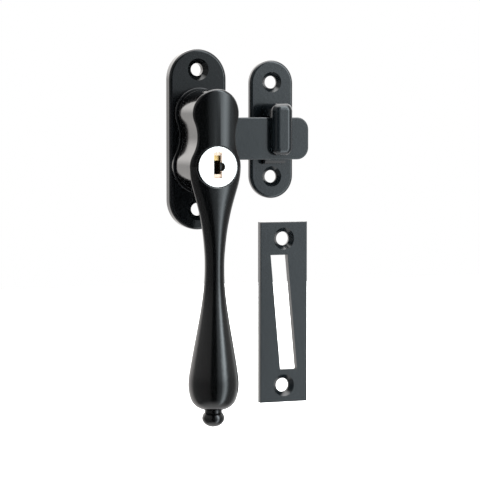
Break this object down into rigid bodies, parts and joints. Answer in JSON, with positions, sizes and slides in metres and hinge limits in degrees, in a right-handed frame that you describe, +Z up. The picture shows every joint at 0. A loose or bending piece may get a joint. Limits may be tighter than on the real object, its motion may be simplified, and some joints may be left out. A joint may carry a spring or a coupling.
{
  "type": "locking casement window fastener",
  "caption": "Key locking casement window fastener: swinging bulb-end handle with tongue on a backplate, J-hook keep plate and slotted mortice keep plate.",
  "frame": {"origin": "on the back face of the backplate, halfway between its two screw holes", "axes": "+X towards the tip of the tongue, -Y out from the window towards the person using it, +Z up"},
  "size_m": [0.0588, 0.0317, 0.1469],
  "materials": {
    "plate_black": "satin black powder coat",
    "handle_black": "gloss black powder coat",
    "lock_chrome": "bright chrome plate",
    "wafer_brass": "stamped brass",
    "bush_bronze": "sintered bronze",
    "washer_nylon": "natural nylon",
    "plated_steel": "zinc plated",
    "spring_steel": "blued spring steel"
  },
  "bodies": {
    "fixed_plates": {"backplate": "plate_black", "pivot_bush": "bush_bronze", "thrust_washer": "washer_nylon", "flat_washer": "plated_steel", "hook_plate": "plate_black", "mortice_plate": "plate_black"},
    "handle": {"handle": "handle_black", "tongue": "plate_black", "tongue_screws": "plated_steel", "pivot_bolt": "plated_steel", "dished_washer": "spring_steel", "stop_pin": "plated_steel", "lock_housing": "lock_chrome", "housing_clip": "spring_steel"},
    "plug": {"lock_plug": "lock_chrome", "lock_wafers": "wafer_brass", "wafer_springs": "spring_steel", "plug_clip": "spring_steel"},
    "bolt": {"lock_bolt": "plated_steel", "drive_pin": "plated_steel"}
  },
  "joints": [
    {"name": "handle_swing", "type": "hinge", "parent": "fixed_plates", "child": "handle", "pos_m": [0, 0, 0.0102], "axis": [0, 1, 0], "range_deg": [0, 90]},
    {"name": "key_turn", "type": "hinge", "parent": "handle", "child": "plug", "pos_m": [0, 0, -0.0102], "axis": [0, 1, 0], "range_deg": [0, 90]},
    {"name": "bolt_throw", "type": "slide", "parent": "handle", "child": "bolt", "axis": [0, 1, 0], "range_m": [0, 0.0035]}
  ],
  "couplings": [
    {"joint": "key_turn", "follows": "bolt_throw", "rad_per_m": 448.79}
  ]
}
